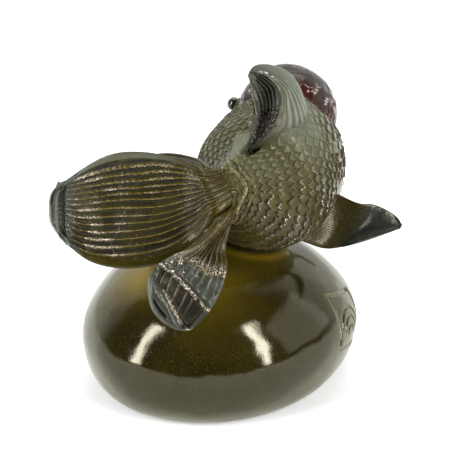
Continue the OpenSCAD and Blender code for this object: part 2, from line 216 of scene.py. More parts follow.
def resin(name, base, second, gold, dark, tip, amber_glow_and_shade, rough, bump, coat,
          spec=0.35, cell=5.0, speck=0.0, edge=0.0):
    """Cast translucent resin. The mesh carries an amount of each colour for its relief.

    base and second cloud into each other with cells of that size; speck adds gold specks and pores, and
    edge paints a glow of light through the thin outline, lighter where the surface is seen edge-on.
    """
    m = bpy.data.materials.new(name)
    m.use_nodes = True
    nt = m.node_tree
    nt.nodes.clear()
    out = nt.nodes.new("ShaderNodeOutputMaterial")
    bs = nt.nodes.new("ShaderNodeBsdfPrincipled")
    nt.links.new(bs.outputs[0], out.inputs[0])
    co = nt.nodes.new("ShaderNodeTexCoord")

    def noise_node(size, detail=2.0, fine=0.5):
        n = nt.nodes.new("ShaderNodeTexNoise")
        n.inputs["Scale"].default_value = 1.0 / (size * MM)
        n.inputs["Detail"].default_value = detail
        n.inputs["Roughness"].default_value = fine
        nt.links.new(co.outputs["Object"], n.inputs["Vector"])
        return n.outputs["Fac"]

    def ramp(fac, a, b, lo=0.0, hi=1.0):
        r = nt.nodes.new("ShaderNodeMapRange")
        for key, val in (("From Min", a), ("From Max", b), ("To Min", lo), ("To Max", hi)):
            r.inputs[key].default_value = val
        nt.links.new(fac, r.inputs["Value"])
        return r.outputs["Result"]

    def feed(sock, val):
        """A tuple is a colour, a float is a value, and anything else is linked."""
        if isinstance(val, tuple):
            sock.default_value = (*val, 1)
        elif isinstance(val, float):
            sock.default_value = val
        else:
            nt.links.new(val, sock)

    def mix(fac, a, b):
        x = nt.nodes.new("ShaderNodeMix")
        x.data_type = "RGBA"
        for key, val in (("Factor", fac), ("A", a), ("B", b)):
            feed(x.inputs[key], val)
        return x.outputs["Result"]

    def amount(key):
        a = nt.nodes.new("ShaderNodeAttribute")
        a.attribute_name = key
        return a.outputs["Fac"]

    def sums(kind, *vals):
        t = nt.nodes.new("ShaderNodeMath")
        t.operation = kind
        for sock, val in zip(t.inputs, vals):
            feed(sock, val)
        return t.outputs[0]

    def bumps(strength, depth, height, sock):
        b = nt.nodes.new("ShaderNodeBump")
        b.inputs["Strength"].default_value = strength
        b.inputs["Distance"].default_value = depth * MM
        nt.links.new(height, b.inputs["Height"])
        nt.links.new(b.outputs[0], bs.inputs[sock])

    col = mix(ramp(noise_node(cell, 3.0), 0.35, 0.65), base, second)
    # amber amount: the resin's own amber, a painted glow where light passes through, and painted shade on the
    # body's underside
    col = mix(amount("amber_glow_and_shade"), col, amber_glow_and_shade)
    if speck:
        col = mix(ramp(noise_node(0.28, 1.0), 0.56, 0.74, 0.0, speck), col, gold)
        col = mix(ramp(noise_node(0.5, 1.0), 0.40, 0.25, 0.0, 0.5), col, dark)
    col = mix(amount("tip"), col, tip)
    col = mix(sums("MULTIPLY", amount("gold"), ramp(noise_node(0.9, 2.0), 0.3, 0.62, 0.35, 1.0)), col, gold)
    # pale amount: the resin's own milky green, with a painted sheen
    col = mix(amount("pale_and_sheen"), col, PALE_AND_SHEEN)
    col = mix(amount("dark"), col, dark)
    # painted glow of light through the thin outline, lighter at grazing view
    if edge:
        lw = nt.nodes.new("ShaderNodeLayerWeight")
        lw.inputs["Blend"].default_value = 0.5
        col = mix(ramp(lw.outputs["Facing"], 0.40, 0.95, 0.0, edge), col, PAINTED_EDGE_GLOW)
    # painted glints: warm flecks on the crests stand in for specular highlights
    col = mix(sums("MULTIPLY", amount("spark"), ramp(noise_node(0.42, 2.0, 0.6), 0.50, 0.60)), col, PAINTED_GLINT_TONE)
    nt.links.new(col, bs.inputs["Base Color"])
    # grooves are duller than crests
    uneven = ramp(noise_node(1.6, 3.0), 0.3, 0.7, rough * 0.8, rough * 1.25)
    nt.links.new(sums("MULTIPLY_ADD", amount("dark"), 0.30, uneven), bs.inputs["Roughness"])
    for key, val in (("IOR", 1.47), ("Specular IOR Level", spec), ("Specular Tint", SPEC_TINT),
                     ("Coat Weight", coat), ("Coat Roughness", 0.05), ("Coat IOR", 1.5)):
        bs.inputs[key].default_value = val
    bumps(bump, 0.3, noise_node(0.5, 3.0, 0.6), "Normal")
    bumps(0.25, 0.4, noise_node(3.0, 2.0), "Coat Normal")
    return m


mat_pebble = resin(
    "pebble_resin", base=(0.0095, 0.0076, 0.0008), second=(0.015, 0.0122, 0.0018), gold=(0.09, 0.066, 0.015),
    dark=(0.005, 0.004, 0.001), tip=(0.036, 0.032, 0.010), amber_glow_and_shade=(0.30, 0.20, 0.010),
    rough=0.085, bump=0.055, coat=0.0, spec=0.55, cell=9.0, speck=0.45, edge=0.9)
mat_body = resin(
    "body_resin", base=(0.056, 0.049, 0.010), second=(0.036, 0.030, 0.005), gold=(0.25, 0.20, 0.07),
    dark=(0.003, 0.003, 0.0015), tip=(0.100, 0.104, 0.055), amber_glow_and_shade=(0.024, 0.0165, 0.001),
    rough=0.13, bump=0.2, coat=0.04, spec=0.25, edge=0.25)
mat_tail = resin(
    "tail_resin", base=(0.036, 0.029, 0.004), second=(0.026, 0.020, 0.002), gold=(0.20, 0.145, 0.032),
    dark=BLACK, tip=(0.012, 0.014, 0.011), amber_glow_and_shade=(0.06, 0.042, 0.004),
    rough=0.14, bump=0.35, coat=0.1, spec=0.30, edge=0.4)
mat_fin = resin(
    "fin_resin", base=(0.060, 0.060, 0.036), second=(0.042, 0.044, 0.026), gold=(0.26, 0.26, 0.19),
    dark=BLACK, tip=(0.008, 0.011, 0.012), amber_glow_and_shade=(0.034, 0.023, 0.0015),
    rough=0.13, bump=0.12, coat=0.04, spec=0.24, edge=0.3)
mat_wen = resin(
    "wen_resin", base=(0.010, 0.0030, 0.0030), second=(0.015, 0.0045, 0.0045), gold=(0.10, 0.03, 0.03),
    dark=(0.004, 0.002, 0.002), tip=(0.05, 0.035, 0.032), amber_glow_and_shade=(0.042, 0.003, 0.004),
    rough=0.12, bump=0.2, coat=0.15, spec=0.26)
mat_eye = resin(
    "eye_bead", base=(0.008, 0.010, 0.012), second=(0.012, 0.014, 0.016), gold=(0.06, 0.06, 0.05),
    dark=(0.004, 0.004, 0.005), tip=(0.03, 0.035, 0.04), amber_glow_and_shade=(0.02, 0.02, 0.015),
    rough=0.08, bump=0.02, coat=1.0)

# -------------------- pebble
LONG, SHORT, TALL = 38.8, 33.9, 40.0  # half length, half width and full height
FOOT, WAIST = 0.79, 14.0  # the flat foot's share of the full width, and the height of the widest ring
ROUND = 1.85  # power of the curve above the waist
TURN = math.radians(53)  # from +X to the long axis
SEAL_A, SEAL_Z, SEAL_S, SEAL_TILT = -45.0, 18.0, 14.0, math.radians(19)  # angle round, height, side, tilt
DEG_PER_MM, RISE_PER_MM = 1.6, 0.98  # round and up the pebble's face at the seal


def pebble_at(a, z, w):
    """Point of the pebble at angle a from its long axis, height z and share w of the full width."""
    a = np.radians(a)
    x, y = w * LONG * np.cos(a), w * SHORT * np.sin(a)
    return np.stack([x * math.cos(TURN) - y * math.sin(TURN), x * math.sin(TURN) + y * math.cos(TURN), z], -1)


def spaced(lo, hi, n, at, width, gain):
    """n values from lo to hi, packed closer about at."""
    x = np.linspace(lo, hi, 4000)
    c = np.cumsum(1 + gain * bell(x, at, width, 4))
    return np.interp(np.linspace(c[0], c[-1], n), c, x)


# the body's spine from the tail root to the mouth, and its half width and half heights there
SPINE = [[6.2, -14.5, 62.2], [8, -7.5, 60.5], [9, 2, 57], [9.6, 13, 55.6], [9.2, 26, 56.6], [4.5, 40, 57.5]]
HALF_W = [4.6, 8.2, 17, 19.5, 17.2, 5]
HALF_UP = [6.3, 9.3, 16.5, 19, 18, 5]
HALF_DN = [6.6, 10.2, 17.4, 18, 15.6, 5]


def body_at(u, v, off=0.0):
    """Point of the plain body at u along the spine and v degrees round it: 0 right, 90 up, 180 left."""
    u, v = np.broadcast_arrays(np.asarray(u, float), np.radians(np.asarray(v, float)))
    c = crom(SPINE, u)
    t = unit(crom(SPINE, np.minimum(u + 0.01, 1)) - crom(SPINE, np.maximum(u - 0.01, 0)))
    r = unit(np.cross(t, [0, 0, 1.0]))
    q = np.cross(r, t)
    cs, sn = np.cos(v), np.sin(v)
    e = np.where(sn > 0, 1.08, 0.82)  # a little peaked above, squarer below
    w = crom(HALF_W, u) + off
    h = np.where(sn > 0, crom(HALF_UP, u), crom(HALF_DN, u)) + off
    w, h = w * np.sign(cs) * np.abs(cs) ** e, h * np.sign(sn) * np.abs(sn) ** e
    return c + r * w[..., None] + q * h[..., None]


# samples of the plain body, to find how far a point is from it and where on it
NU, NV = 240, 240
su, sv = np.meshgrid(np.linspace(0, 1, NU), np.arange(NV) * 360 / NV, indexing="ij")
skin = body_at(su, sv).reshape(-1, 3)
tree = KDTree(len(skin))
for i, p in enumerate(skin.tolist()):
    tree.insert(p, i)
tree.balance()


def nearest_skin(points):
    """Index of the nearest sample of the plain body, and how far it is."""
    got = [tree.find(p)[1:] for p in points.tolist()]
    return np.array([g[0] for g in got]), np.array([g[1] for g in got])


# rings packed closer about the seal
turns = spaced(-226, 134, 401, SEAL_A, 16, 2.6)[:-1]
climb = spaced(0, 1, 215, 0.36, 0.17, 1.6)
BELOW = 0.28  # share of the climb that lies under the waist
psi = np.clip(1 - climb / BELOW, 0, 1) * math.pi / 2
phi = np.clip((climb - BELOW) / (1 - BELOW), 0, 1) * math.pi / 2
ring_z = np.where(climb < BELOW, WAIST - WAIST * np.sin(psi),
                  WAIST + (TALL - WAIST) * np.sin(phi) ** (2 / ROUND))
ring_w = np.where(climb < BELOW, FOOT + (1 - FOOT) * np.cos(psi), np.cos(phi) ** (2 / ROUND))
ring_w = np.maximum(ring_w, 0.004)
A, Z = np.meshgrid(turns, ring_z, indexing="xy")
grid = pebble_at(A, Z, np.repeat(ring_w[:, None], len(turns), 1))
out = unit(np.cross(np.roll(grid, -1, 1) - np.roll(grid, 1, 1), np.gradient(grid, axis=0)))

# seal: a square frame and plain arcs, cut in. seal_x and seal_y are millimetres from its middle
flat_x, flat_y = (A - SEAL_A) / DEG_PER_MM, (Z - SEAL_Z) / RISE_PER_MM
seal_x = flat_x * math.cos(SEAL_TILT) - flat_y * math.sin(SEAL_TILT)
seal_y = flat_x * math.sin(SEAL_TILT) + flat_y * math.cos(SEAL_TILT)
half = SEAL_S / 2


def to_stroke(x0, y0, x1, y1):
    """Distance on the seal's face to a straight stroke."""
    dx, dy = x1 - x0, y1 - y0
    t = np.clip(((seal_x - x0) * dx + (seal_y - y0) * dy) / (dx * dx + dy * dy), 0, 1)
    return np.hypot(seal_x - x0 - t * dx, seal_y - y0 - t * dy)


dist = np.full(A.shape, 99.0)
for x0, y0, x1, y1 in ((-1, -1, 1, -1), (1, -1, 1, 1), (1, 1, -1, 1), (-1, 1, -1, -1)):
    dist = np.minimum(dist, to_stroke(x0 * half, y0 * half, x1 * half, y1 * half))
for r in (0.3, 0.56, 0.82):
    turn = [math.radians(20 + i * 140 / 12) for i in range(13)]
    pts = [(half * r * math.cos(q), half * (r * 1.3 * math.sin(q) - 0.62)) for q in turn]
    for (x0, y0), (x1, y1) in zip(pts[:-1], pts[1:]):
        dist = np.minimum(dist, to_stroke(x0, y0, x1, y1) + 0.12)
cut = 1 - smooth(0.28, 0.62, dist)

# fuller towards the camera's right, and a little lumpy; the foot stays flat
lump = 1.0 * np.clip(out[..., 0] * 0.94 + out[..., 1] * 0.34, 0, 1) ** 3
lump = lump + (fbm(grid, 16.0, 3) - 0.5) * 0.7 + (noise(grid, 2.4, 9) - 0.5) * 0.05
grid = grid + out * (lump * smooth(0.0, 3.0, Z) - 0.5 * cut)[..., None]
# a bead of glue round the contact with the fish
P = grid.reshape(-1, 3)
near = np.full(len(P), 99.0)
top = P[:, 2] > 30
near[top] = nearest_skin(P[top])[1]
bead = bell(near, 1.9, 0.9).reshape(A.shape)
grid = grid + out * (bead * 0.5)[..., None]
P = grid.reshape(-1, 3)


# a painted pool of light of radius r round c
def glow(c, r):
    return bell(np.linalg.norm(P - np.array(c), axis=1), 0, r)


# painted amber glow where light passes under the tail and the belly, plus amber in the glue bead and the seal's
# cut strokes
cut, dist = cut.ravel(), dist.ravel()
amber_glow_and_shade = 0.20 * glow((6, -18, 34), 11) + 1.15 * glow((-16, -13.5, 35.0), 8.0) * (0.6 + 0.6 * noise(P, 5.0, 6))
amber_glow_and_shade = amber_glow_and_shade + 0.15 * bell(near, 0, 5.0) + 0.32 * bead.ravel() + 0.22 * cut
groove_edge = smooth(0.62, 0.75, dist) * smooth(1.1, 0.85, dist)
amounts = dict(amber_glow_and_shade=np.clip(amber_glow_and_shade, 0, 1), gold=np.clip(cut * 0.35, 0, 1), tip=0.5 * smooth(14, 2, P[:, 2]),
               dark=0.45 * (cut > 0.7) * noise(P, 0.6, 5) + 0.5 * groove_edge)
me = new_mesh("pebble", with_caps(grid), tube_faces(len(ring_z), len(turns)), end_zeros(amounts))
piece("pebble", me, mat_pebble, "pebble_base")

# -------------------- fish body
CAP_AT, CAP_R = np.array([9.0, 31.0, 66.0]), 13.5
COS_H, SIN_H = math.cos(math.radians(30)), math.sin(math.radians(30))  # the head turns 30 degrees to its left


def in_head(side, fore, up):
    return CAP_AT + np.array([side * COS_H - fore * SIN_H, side * SIN_H + fore * COS_H, up])


CHEEK, CHEEK_R = in_head(0, 4.5, -7.8), 13.0
EYES, EYE_R = [in_head(-13.2, 10, -0.9), in_head(13.2, 10, -0.9)], 1.9
MOUTH, MOUTH_DIR = in_head(0, 17.2, -8.8), unit(np.array([-5, 8.66, -0.8]))


def frame_of(d):
    d = unit(np.asarray(d, float))
    a = unit(np.cross(d, [0.0, 0.0, 1.0] if abs(d[2]) < 0.9 else [1.0, 0, 0]))
    return a, np.cross(d, a), d


def revolve(at, way, profile, n=48):
    """Closed turned solid: profile is (radius, distance along way), from one end to the other."""
    a, b, d = frame_of(way)
    ang = np.arange(n) * 2 * math.pi / n
    rings = [[at + d * z + (a * math.cos(q) + b * math.sin(q)) * max(r, 1e-3) for q in ang]
             for r, z in profile]
    return with_caps(np.array(rings)), tube_faces(len(profile), n)


# overlapping closed solids, joined by a voxel remesh: body, cheeks, eye mounts, mouth ring and snout
BODY_RINGS, BODY_TURNS = 90, 96
parts = []
gu, gv = np.meshgrid(0.5 - 0.5 * np.cos(np.linspace(0, math.pi, BODY_RINGS)),
                     np.arange(BODY_TURNS) * 360 / BODY_TURNS, indexing="ij")
parts.append((with_caps(body_at(gu, gv)), tube_faces(BODY_RINGS, BODY_TURNS)))
ang = np.linspace(-math.pi / 2, math.pi / 2, 40)
parts.append(revolve(CHEEK, (0, 0, 1), [(CHEEK_R * math.cos(q), CHEEK_R * math.sin(q)) for q in ang], 72))
for eye in EYES:
    far = np.linalg.norm(eye - CHEEK)
    prof = [(10.5, 2), (9.0, far * 0.45), (5.6, far * 0.7), (3.4, far - 2.0), (2.7, far - 0.7),
            (2.2, far - 0.3), (0.5, far - 0.3)]  # it ends in a flat seat for the bead
    parts.append(revolve(CHEEK, eye - CHEEK, prof))
RING_R, LIP_R, RING_N, LIP_N = 2.6, 1.2, 40, 24
ring = [(RING_R + LIP_R * math.cos(q), LIP_R * math.sin(q))
        for q in np.linspace(0, 2 * math.pi, LIP_N + 1)[:-1]]
a, b, d = frame_of(MOUTH_DIR)
g = np.array([[MOUTH + (a * math.cos(f) + b * math.sin(f)) * r + d * z for r, z in ring]
              for f in np.arange(RING_N) * math.pi / (RING_N / 2)])
idx = np.arange(RING_N * LIP_N).reshape(RING_N, LIP_N)
quads = np.stack([idx, np.roll(idx, -1, 1), np.roll(np.roll(idx, -1, 0), -1, 1), np.roll(idx, -1, 0)], -1)
parts.append((g.reshape(-1, 3), quads.reshape(-1, 4).tolist()))
snout = [(1.0, -4), (4.6, -3.5), (4.0, 1.0), (3.0, 3.0), (1.0, 3.2)]
parts.append(revolve(MOUTH - MOUTH_DIR * 3.0, MOUTH_DIR, snout))
pts, faces, base = [], [], 0
for pp, ff in parts:
    pts.append(pp)
    faces += [[k + base for k in f] for f in ff]
    base += len(pp)
me = new_mesh("body_parts", np.vstack(pts), faces)
me.transform(Matrix.Scale(1000, 4))  # remeshed in millimetres
tmp = bpy.data.objects.new("body_parts", me)
bpy.context.scene.collection.objects.link(tmp)
mod = tmp.modifiers.new("solid", "REMESH")
mod.mode = "VOXEL"
mod.voxel_size = 0.29
body_me = bpy.data.meshes.new_from_object(tmp.evaluated_get(bpy.context.evaluated_depsgraph_get()))
bpy.data.objects.remove(tmp)
body_me.name = "fish_skin"
P = vectors(body_me, "co")
edges = edge_list(body_me)
P = relax(P, edges, np.full(len(P), 0.5), 6)
# softer where the head parts meet
P = relax(P, edges, 0.7 * bell(np.linalg.norm(P - CHEEK, axis=1), 0, 15, 4), 24)
set_coords(body_me, P)
N = vectors(body_me, "normal")
up = N[:, 2]

# where each point lies on the plain body: the nearest sample, then two Newton steps
idx, gap = nearest_skin(P)
U, V = su.ravel()[idx], sv.ravel()[idx]
DU, DV = 0.004, 0.5
for _ in range(2):
    tu = (body_at(np.clip(U + DU, 0, 1), V) - body_at(np.clip(U - DU, 0, 1), V)) / (2 * DU)
    tv = (body_at(U, V + DV) - body_at(U, V - DV)) / (2 * DV)
    miss = P - body_at(U, V)
    U = np.clip(U + np.clip((miss * tu).sum(1) / np.maximum((tu * tu).sum(1), 1e-6), -0.01, 0.01), 0, 1)
    V = V + np.clip((miss * tv).sum(1) / np.maximum((tv * tv).sum(1), 1e-6), -3, 3)
V = V % 360
RAD = np.radians(V)

# scales: rows counted from the head, each lapping over the row tailward of it
LEN, ROW = 61.0, 2.55  # the spine's length, and one row's
x = (1 - U) * LEN / ROW + (noise(P, 7.0, 21) - 0.5) * 0.5
vv = V / 360.0 + (noise(P, 6.0, 22) - 0.5) * 0.006
turned = (V + 90) % 360 - 90
high = smooth(-40, 40, np.minimum(turned, 180 - turned))  # 1 on the upper half


def scale_edge(i, v):
    """How far tailward row i's free edges reach at angle v, and which scale that is."""
    u_row = 1 - (i + 0.5) * ROW / LEN
    n = np.where(u_row < 0.10, 16, np.where(u_row < 0.24, 28, np.where(u_row > 0.86, 28, 42)))
    q = v * n + 0.5 * (i % 2)
    j = np.floor(q)
    f = q - j
    b = (0.30 + 0.40 * high) * (1 - np.abs(2 * f - 1) ** 1.5)
    return i + 0.25 + b + (rnd(i, j, seed=4) - 0.5) * 0.16, j


# t runs from 0 where a scale comes out from under the last one to 1 at its free edge; wide is that far in rows
row = np.floor(x).astype(int)
done = np.zeros(len(x), bool)
t, wide = np.zeros(len(x)), np.ones(len(x))
scale_i, scale_j = np.zeros(len(x), int), np.zeros(len(x))
for k in (-2, -1, 0, 1, 2):
    i = row + k
    edge, j = scale_edge(i, vv)
    prev, _ = scale_edge(i - 1, vv)
    hit = (~done) & (x < edge)
    wide = np.where(hit, np.maximum(edge - prev, 0.05), wide)
    t = np.where(hit, np.clip((x - prev) / np.maximum(edge - prev, 0.05), 0, 1), t)
    scale_i = np.where(hit, i, scale_i)
    scale_j = np.where(hit, j, scale_j)
    done |= hit
tall = (0.14 + 0.26 * rnd(scale_i, scale_j.astype(int), seed=8)) * (1 + 0.6 * high)
lap = np.maximum(t**1.3, 1 - t * wide / 0.11)

# where the scales show, and where the skin is plain
back_band = bell(V, 104, 13, 4) * smooth(0.36, 0.30, U) * smooth(-0.01, 0.02, U)
head_plain = smooth(0.84, 0.90, U) + smooth(0.5, 1.4, gap) * (U > 0.55)
belly = bell(V, 270, 26, 4) * 0.45
fin_t = np.clip((U - 0.28) / 0.45, 0, 1)
fin_v = 86 - 12 * fin_t - 26 * np.sin(math.pi * fin_t)  # the dorsal fin's right foot line
away = np.clip(fin_v - V, -6, 60)
fillet = bell(np.maximum(away, 0), 0, 20, 1.6) * smooth(0.31, 0.43, U) * smooth(0.84, 0.74, U) * (V < 100)
fin_gap = np.full(len(P), 99.0)  # to the pectoral fins' root lines
for va, vb in ((-12, -50), (192, 230)):
    for q in np.linspace(0, 1, 24):
        root_at = body_at(0.66 - 0.18 * q, va + (vb - va) * q)
        fin_gap = np.minimum(fin_gap, np.linalg.norm(P - root_at, axis=1))
fin_line = bell(fin_gap, 3.2, 0.30)
show = (smooth(3.2, 5.0, fin_gap) * np.clip(1 - back_band, 0, 1) * np.clip(1 - head_plain, 0, 1) * (1 - belly)
        * (1 - 0.65 * fillet))
flank = bell(V, 345, 40) + bell(V, -15, 40)
slant = flat_noise(x * 1.2, V / 9.0, 57)
line = bell(t * wide, 0, 0.15 + 0.10 * flank * smooth(0.4, 0.7, slant)) * show
rim = smooth(0.55, 0.95, t) * show

# relief: scales, two wavy collars at the tail root, a combed back, the dorsal fin's fillet and a dip behind it
FROM_TAIL = U * LEN
collar = bell(FROM_TAIL - 3.2 - 1.5 * np.sin(np.radians(V * 4)) - 0.8 * noise(P, 2.0, 36), 0, 0.55)
collar2 = bell(FROM_TAIL - 6.8 - 1.5 * np.sin(np.radians(V * 4 + 30)) - 0.8 * noise(P, 2.0, 37), 0, 0.5) * 0.8
rise = show * tall * (lap - 0.5) * (1 + 0.9 * flank)
rise += 0.75 * collar - 0.12 * line + 0.5 * collar2 + 0.9 * back_band
rise += (noise(P, 0.9, 31) - 0.5) * 0.10 + (fbm(P, 5.0, 33) - 0.5) * 0.35
streak = np.sin(V * 1.6 + 4 * noise(P, 8, 2)) * back_band
rise += 0.12 * streak + 1.9 * fillet
combed = np.sin(V * 0.9 + U * 60 + 3 * noise(P, 9, 3))
rise += 0.04 * combed * fillet * (1 - back_band)
dip = smooth(0.20, 0.25, U) * smooth(0.50, 0.44, U) * bell(V, 82, 8, 4)
rise -= 2.2 * dip
# head skin is pebbly, and a curved gill-cover edge crosses it
rise += np.clip(head_plain, 0, 1) * (noise(P, 1.3, 41) - 0.5) * 0.28
gill = bell(U - 0.80 + 0.05 * np.cos(RAD) ** 2 - 0.03 * np.sin(RAD), 0, 0.011) * (np.abs(np.cos(RAD)) > 0.3)
rise -= 0.6 * gill * (1 - bell(V, 90, 40, 4))
set_coords(body_me, P + N * rise[:, None])

# colour amounts
lip = np.linalg.norm(P - MOUTH - MOUTH_DIR * 1.0, axis=1)
by_dorsal = bell(np.linalg.norm(P - np.array([15, 6, 73.0]), axis=1), 0, 6)
right_side = smooth(-20, 0, P[:, 0])
# gold on the scale rims is their own, with more on upward faces as a painted highlight; the gold along the
# right fin roots is a painted highlight
gold = (0.22 * rim * smooth(-0.2, 0.9, up) + 0.95 * collar + 0.8 * collar2 + 0.10 * rim
        + 0.8 * fin_line * right_side * smooth(0.35, 0.7, noise(P, 4.0, 60)))
# pale: the back band's and fillet's own milky tone, and a painted sheen on the scale rims, stronger on upward
# faces
pale_and_sheen = (0.6 * back_band * (0.4 + 0.6 * (streak > 0)) + 0.28 * fillet
        + (0.40 + 0.3 * (V > 100)) * rim * smooth(0.7, 0.98, t) * smooth(0.2, 0.9, up))
# painted highlights on the flank's scale edges; the collars get painted glints too, below
glint = (rim * smooth(0.80, 0.97, t) * flank * smooth(0.45, 0.65, slant) * smooth(0.12, 0.25, U)
         * smooth(0.85, 0.65, U))
in_hollow = smooth(0.17, 0.22, U) * smooth(0.50, 0.44, U) * bell(V, 82, 10, 4)
dark = (1.9 * line * (1 - 0.35 * high) * (0.6 + 0.4 * flank) * (0.25 + 1.2 * noise(P, 3.0, 51)) + 0.5 * gill
        + 0.8 * bell(FROM_TAIL - 4.8 - 1.3 * np.sin(np.radians(V * 5 + 20)), 0, 0.5)
        + 0.9 * in_hollow * smooth(0.15, 0.40, noise(P, 1.0, 65))
        + 0.9 * smooth(1.9, 1.2, lip) + 0.6 * bell(lip, 4.6, 0.4))
# lighter on the back band and fillet; on upward faces the lighter tone is painted skylight
tip = 0.3 * back_band + 0.3 * fillet + 0.38 * smooth(0.1, 0.9, up) * (0.5 + noise(P, 6, 52)) * (U > 0.05)
# painted shade: darker amber on downward faces; amber also rings the fin roots and patches by the dorsal fin
amber_glow_and_shade = (0.95 * smooth(0.30, -0.50, up) * (0.6 + 0.4 * noise(P, 7, 59)) + 0.9 * smooth(5.5, 3.0, fin_gap)
         + 0.5 * by_dorsal * noise(P, 2.0, 53))
set_amounts(body_me, dict(
    gold=np.clip(gold, 0, 1), dark=np.clip(dark, 0, 1), tip=np.clip(tip, 0, 0.9), amber_glow_and_shade=np.clip(amber_glow_and_shade, 0, 1),
    spark=np.clip(glint + 0.6 * collar * noise(P, 1.5, 58), 0, 1), pale_and_sheen=np.clip(pale_and_sheen, 0, 0.8)))
body_me.shade_smooth()
piece("fish", body_me, mat_body, "fish_body")

# -------------------- blades: tail lobes and paired fins
ROOT_AT = np.array(SPINE[0])
# forward, right and up at the tail root
tr = unit(crom(SPINE, np.array([0.01])) - crom(SPINE, np.array([0.0])))[0]
rr = unit(np.cross(tr, [0, 0, 1.0]))
ru = np.cross(rr, tr)


def root(a, b, back=0.1):
    return ROOT_AT + rr * a + ru * b - tr * back


def stations(first, rest, at=ROOT_AT):
    """Knots of a blade's edge: the first point, and the rest measured from at."""
    return np.array([first] + [np.array(q) + at for q in rest])


TAPER, EDGE_MIN = 0.44, 0.35  # share of the thickness lost at the tip, and share left at the edges
LEAST = 0.12  # half thickness that no groove goes below


